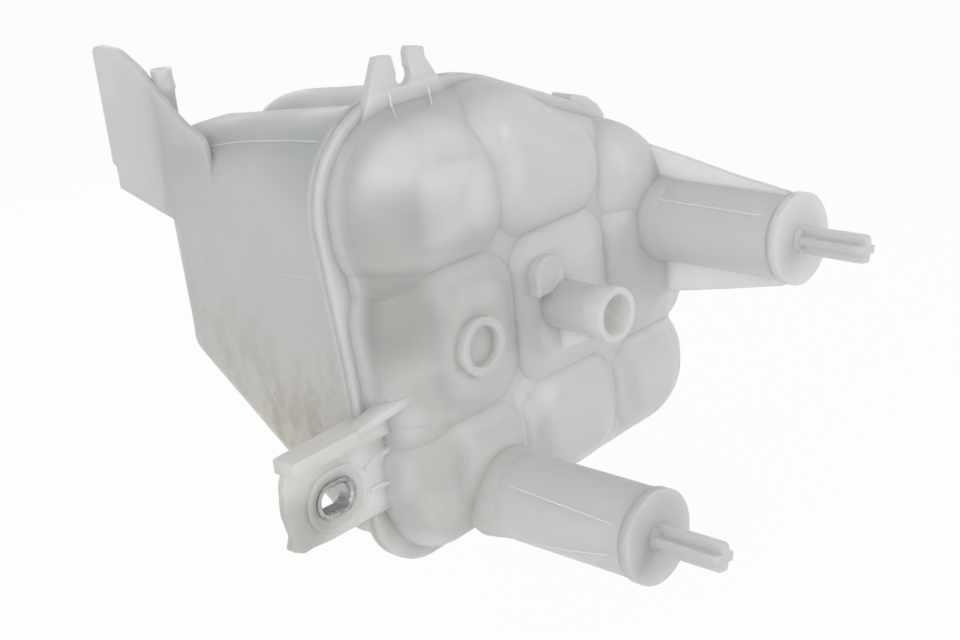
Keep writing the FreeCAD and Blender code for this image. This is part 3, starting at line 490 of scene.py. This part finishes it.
# the top turns cool in tint and darker as painted shade
cooled_and_shaded = mixed(tint, beyond(tint, height, *COOL_SHADED_TOP_FROM), tint_in.outputs["Plain"], tint_in.outputs["Cool shaded top"])
warmed = mixed(tint, warmth, cooled_and_shaded, tint_in.outputs["Warm"])
drawn_out = squeezed(tint, spot, STREAK_STRETCH)
streaks = stepped(tint, clouds(tint, drawn_out, 90.0, 4.0, 0.65), 0.48, 0.66)
stained = mixed(tint, all_of(tint, [streaks, warmth, tint_in.outputs["Stain share"]]), warmed, STAIN_COLOUR)
patchy = mixed(tint, stepped(tint, cloud, 0.35, 0.7, 0.0, PATCH_SHARE), stained, PATCH_COLOUR)
specks = stepped(tint, clouds(tint, spot, 520.0, 0.0), 0.885, 0.905)
speckled = mixed(tint, sums(tint, "MULTIPLY", specks, SPECK_SHARE), patchy, SPECK_COLOUR)
tint.links.new(speckled, tint_out.inputs["Colour"])
print("cloudy_tint_and_top_shade has", len(tint.nodes), "nodes")

# %% [markdown]
# ## Moulded skin
# A moulded wall is smooth but never flat: it has slow ripples from cooling, a fine grain from the
# tool, and rings in the ear where the melt flowed round the sleeve. They could be modelled, but they
# are far too shallow to change an outline, so they go into the height that the bump reads.

# %% Shader group: moulded skin
SLEEVE_AXIS, RING_STEP, RING_WOBBLE = (-55, 0, 15.5), 1.7 / MM, 4 / MM
EAR_SIDE, RINGS_START, EAR_BALL = (-40, -44), (9.5, 12), ((-58, 79.5, 12), 25, 30)
GRAIN_SHARE, HAZE_STEP = 0.15, (0.35, 0.65)

skin, skin_in, skin_out = group(
    "moulded_skin",
    [("Grain size", NUMBER, 900.0), ("Ripple size", NUMBER, 60.0), ("Ripple share", NUMBER, 0.6),
     ("Ring share", NUMBER, 0.5)],
    [("Height", NUMBER), ("Haze", NUMBER)],
)
spot, x, _, _ = spot_and_axes(skin)
grain = clouds(skin, spot, skin_in.outputs["Grain size"], 0.0)
ripple = clouds(skin, spot, skin_in.outputs["Ripple size"], 1.0)
off_sleeve = away_from(skin, spot, SLEEVE_AXIS, FROM_FRONT)
wobbly = sums(skin, "ADD", off_sleeve, sums(skin, "MULTIPLY", ripple, RING_WOBBLE))
rings = sums(skin, "SINE", sums(skin, "MULTIPLY", wobbly, 2 * math.pi / RING_STEP))
on_ear = all_of(skin, [beyond(skin, x, *EAR_SIDE), beyond(skin, off_sleeve, *RINGS_START),
                       near(skin, spot, *EAR_BALL)])
ring_height = all_of(skin, [rings, on_ear, skin_in.outputs["Ring share"]])
raised = sums(skin, "ADD", sums(skin, "MULTIPLY", ripple, skin_in.outputs["Ripple share"]),
              sums(skin, "MULTIPLY", grain, GRAIN_SHARE))
skin.links.new(sums(skin, "ADD", raised, ring_height), skin_out.inputs["Height"])
skin.links.new(stepped(skin, ripple, *HAZE_STEP), skin_out.inputs["Haze"])
print("moulded_skin has", len(skin.nodes), "nodes")

# %% [markdown]
# ## The plastic itself
# The wall could be glass with a fog inside, which is slow and goes dark in a closed shell. A
# Principled surface with subsurface light gives the same glow at thin webs and soft shadows, a
# share of transmission lets some light pass, and its plain colour still works when the model is
# exported. The masks lay painted light as a paler colour and painted shade as a greyer one over
# the tint, one after the other.

# %% Material: natural polypropylene
# paler colours paint light, greyer ones paint shade
PAINTED_LIGHT_AND_SHADE = [  # mask, share, colour
    ("Painted light", 0.9, (0.93, 0.93, 0.915, 1)),
    ("Painted shade", 1.0, (0.43, 0.43, 0.415, 1)),
    ("Post", 1.0, (0.93, 0.93, 0.93, 1)),
    ("Painted solid shade", 0.9, (0.637, 0.637, 0.637, 1)),
    ("Painted web light", 1.0, (0.91, 0.91, 0.903, 1)),
]
SMOOTH_ROUGHNESS, HAZY_ROUGHNESS = 0.32, 0.42
PLASTIC_VALUES = {
    "IOR": 1.49, "Subsurface Radius": (1.0, 1.0, 0.9), "Subsurface Scale": 0.012,
    "Transmission Weight": 0.3,
}


def shared(tree, node_group):
    node = tree.nodes.new("ShaderNodeGroup")
    node.node_tree = node_group
    return node


def bumped(tree, height, strength, distance, shader):
    """The height as a bump on a shader's surface."""
    bump = tree.nodes.new("ShaderNodeBump")
    bump.inputs["Strength"].default_value = strength
    bump.inputs["Distance"].default_value = distance
    tree.links.new(height, bump.inputs["Height"])
    tree.links.new(bump.outputs["Normal"], shader.inputs["Normal"])


def milky(name, plain, cool_and_shaded, warm, stain_share, glow_weight=0.9):
    material = bpy.data.materials.new(name)
    material.use_nodes = True
    tree = material.node_tree
    plastic = tree.nodes["Principled BSDF"]
    tinting, surface, painted_shading_node = shared(tree, tint), shared(tree, skin), shared(tree, painted_shading)
    for title, value in (("Plain", plain), ("Cool shaded top", cool_and_shaded), ("Warm", warm), ("Stain share", stain_share)):
        tinting.inputs[title].default_value = value
    colour = tinting.outputs["Colour"]
    # each mask lays its painted light or painted shade over the tint
    for title, share, shade in PAINTED_LIGHT_AND_SHADE:
        colour = mixed(tree, sums(tree, "MULTIPLY", painted_shading_node.outputs[title], share), colour, shade)
    tree.links.new(colour, plastic.inputs["Base Color"])
    roughness = stepped(tree, surface.outputs["Haze"], 0.0, 1.0, SMOOTH_ROUGHNESS, HAZY_ROUGHNESS)
    tree.links.new(roughness, plastic.inputs["Roughness"])
    bumped(tree, surface.outputs["Height"], 0.25, 0.0004, plastic)
    plastic.inputs["Subsurface Weight"].default_value = glow_weight
    for title, value in PLASTIC_VALUES.items():
        plastic.inputs[title].default_value = value
    return material


front_plastic = milky("natural_plastic_front", (0.76, 0.76, 0.73, 1), (0.734, 0.747, 0.734, 1),
                      (0.78, 0.754, 0.689, 1), 0.25)
# the rear's cool colour is much darker than its plain one: painted shade on the top
rear_plastic = milky("natural_plastic_rear", (0.78, 0.78, 0.76, 1), (0.598, 0.63, 0.617, 1),
                     (0.793, 0.754, 0.657, 1), 0.55)
# the beads are paler than the wall: a painted highlight along the mould lines
highlit_bead_plastic = milky("bead_plastic_painted_highlight", (0.858, 0.858, 0.845, 1), (0.806, 0.832, 0.826, 1),
                     (0.832, 0.806, 0.741, 1), 0.2, glow_weight=0.0)
print("plastics:", front_plastic.name, rear_plastic.name, highlit_bead_plastic.name)

# %% [markdown]
# ## The steel sleeve
# The sleeve in the ear is a rolled and pressed ring of bright steel. It could be a mirror, but
# turned and tumbled steel is softer: fine scratches stretch the highlights. A metallic surface with
# a noise squeezed along one axis shows that at this size.

# %% Material: sleeve steel
SCRATCH_SCALE, BLOTCH_SCALE = (900, 120, 900), 350.0
DARK_STEEL, LIGHT_STEEL = (0.34, 0.34, 0.35, 1), (0.58, 0.58, 0.59, 1)
DULL_STEEL, DULL_SHARE = (0.20, 0.195, 0.19, 1), 0.6


def bright_steel(name):
    material = bpy.data.materials.new(name)
    material.use_nodes = True
    tree = material.node_tree
    metal = tree.nodes["Principled BSDF"]
    metal.inputs["Metallic"].default_value = 1.0
    spot = tree.nodes.new("ShaderNodeTexCoord").outputs["Object"]
    scratches = clouds(tree, squeezed(tree, spot, SCRATCH_SCALE), 1.0, 2.0)
    blotches = stepped(tree, clouds(tree, spot, BLOTCH_SCALE, 3.0), 0.45, 0.7, 0.0, DULL_SHARE)
    dulled = mixed(tree, blotches, mixed(tree, scratches, DARK_STEEL, LIGHT_STEEL), DULL_STEEL)
    tree.links.new(dulled, metal.inputs["Base Color"])
    tree.links.new(stepped(tree, scratches, 0.3, 0.7, 0.20, 0.38), metal.inputs["Roughness"])
    bumped(tree, scratches, 0.3, 0.0001, metal)
    return material


steel = bright_steel("sleeve_steel")
print("metal:", steel.name)

# %% [markdown]
# ## Dress the three nodes
# The tank comes apart into three pieces: front shell, rear shell and sleeve. A material could be put
# into the mesh, but the CAD meshes are not ours to change. A material could be put into the mesh, but
# a slot that is linked to the object holds the finish beside the mesh instead.

# %% Put the finishes on
def solids(node):
    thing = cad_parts[node]
    return list(thing) if isinstance(thing, (list, tuple)) else [thing]


FINISHES = {"front_shell": front_plastic, "rear_shell": rear_plastic, "mounting_sleeve": steel}
for node, material in FINISHES.items():
    for part in solids(node):
        for slot in part.material_slots:
            slot.link = "OBJECT"
            slot.material = material
    print(node, "wears", material.name)

# %% [markdown]
# ## Find the surface
# Where the halves of a mould meet, a hair of plastic stands up: along the posts, on the rear
# shoulder and down the fork. The points of such a line could be typed in, but they would float or
# sink where the wall curves. Each point is found by looking along a straight line onto the shell
# instead, so a line lies on the wall whatever shape the wall has.

# %% Touch the shell
PIXELS_PER_UNIT = 1817.4  # the lens in pixels, for a picture of 960 by 640
PICTURE_MIDDLE = (480, 320)


def touch_tree(names):
    corners, faces = [], []
    for part in (p for name in names for p in solids(name)):
        start = len(corners)
        corners += [part.matrix_world @ v.co for v in part.data.vertices]
        faces += [tuple(start + i for i in f.vertices) for f in part.data.polygons]
    return BVHTree.FromPolygons(corners, faces)


shell = touch_tree(["front_shell", "rear_shell"])


def touch(start, way):
    """Where a straight line from start first meets the tank, with the wall's own direction there."""
    place, facing, _, _ = shell.ray_cast(Vector(start), Vector(way).normalized())
    return (place, facing) if place is not None else None


def sighted(u, v):
    """The spot on the tank that the camera shows at u across and v down."""
    across, down = ((p - middle) / PIXELS_PER_UNIT for p, middle in zip((u, v), PICTURE_MIDDLE))
    return touch(CAMERA_AT, to_tank + to_right * across + to_below * down)


print("mid-picture touches the tank at", [round(v, 3) for v in sighted(*PICTURE_MIDDLE)[0]])

# %% [markdown]
# ## Paths for the lines
# Some lines are easiest to follow as the camera sees them, and those along a post as a height and an
# angle round its axis. One way for all would need awkward sums, so there are two helpers.

# %% Helpers for paths
STEPS_IN_STRETCH, STEPS_ON_POST, OUTSIDE_POST = 4, 12, 0.03


def along_view(corners):
    """Touched spots along a path that is given as the camera sees it."""
    path = [corners[0]]
    for a, b in zip(corners, corners[1:]):
        path += [tuple(p + (q - p) * i / STEPS_IN_STRETCH for p, q in zip(a, b))
                 for i in range(1, STEPS_IN_STRETCH + 1)]
    return [sighted(*p) for p in path]


def along_post(x, z, y_start, y_end, turn_start, turn_end):
    """Touched spots along a post, at angles about its axis in degrees."""
    spots = []
    for i in range(STEPS_ON_POST + 1):
        y = y_start + (y_end - y_start) * i / STEPS_ON_POST
        angle = math.radians(turn_start + (turn_end - turn_start) * i / STEPS_ON_POST)
        out = Vector((math.cos(angle), 0, math.sin(angle)))
        spots.append(touch(Vector((x, y, z)) + out * OUTSIDE_POST, -out))
    return spots


print("path helpers ready: along_view, along_post")

# %% [markdown]
# ## Fine lines on the mouldings
# These lines are tenths of a millimetre high. They could be cut into the solids, but they carry
# nothing and would double the faces, so they are thin beads laid on the finished surface, sunk by a
# third of their thickness and thinner at both ends. Their paler plastic paints the highlight that
# such a thin ridge catches.

# %% Lay the beads
LINE, FAINT_LINE, RIB = 0.00030, 0.00018, 0.0005
SUNK, END_THIN = 0.35, 0.35


def bead(name, spots, thick):
    spots = [s for s in spots if s]
    last = len(spots) - 1
    data = bpy.data.curves.new(name, "CURVE")
    data.dimensions = "3D"
    data.bevel_depth = thick
    data.bevel_resolution = 1
    data.use_fill_caps = True
    line = data.splines.new("POLY")
    line.points.add(last)
    for i, (place, facing) in enumerate(spots):
        line.points[i].co = (*(place - facing * thick * SUNK), 1)
        line.points[i].radius = END_THIN if i in (0, last) else 1.0
    data.materials.append(highlit_bead_plastic)
    piece = bpy.data.objects.new(name, data)
    bpy.context.scene.collection.objects.link(piece)
    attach(piece, "root")
    print(name, "has", len(spots), "points")


SHOULDER = [(207, 147), (228, 143), (250, 141), (290, 140.5), (321, 142)]
WEB_STEP = [touch((0.070, 0.0715, z / MM), (1, 0, 0)) for z in range(82, 93, 2)]
bead("shoulder_parting_line", along_view(SHOULDER), LINE)
bead("left_wall_line", along_view([(277, 274), (300, 277), (319, 282)]), FAINT_LINE)
bead("lower_post_line_upper", along_post(0, 0, 0.050, 0.0062, 140, 148), LINE)
bead("lower_post_line_under", along_post(0, 0, 0.050, 0.0062, 226, 186), LINE)
bead("upper_post_line", along_post(0.0878, 0.0664, 0.056, 0.0115, 136, 136), LINE)
bead("upper_web_step", WEB_STEP, LINE)
bead("fork_rib_left", along_view([(389, 93), (391, 104), (396, 118)]), RIB)
bead("fork_rib_right", along_view([(428, 86), (430, 96), (432, 107)]), RIB)
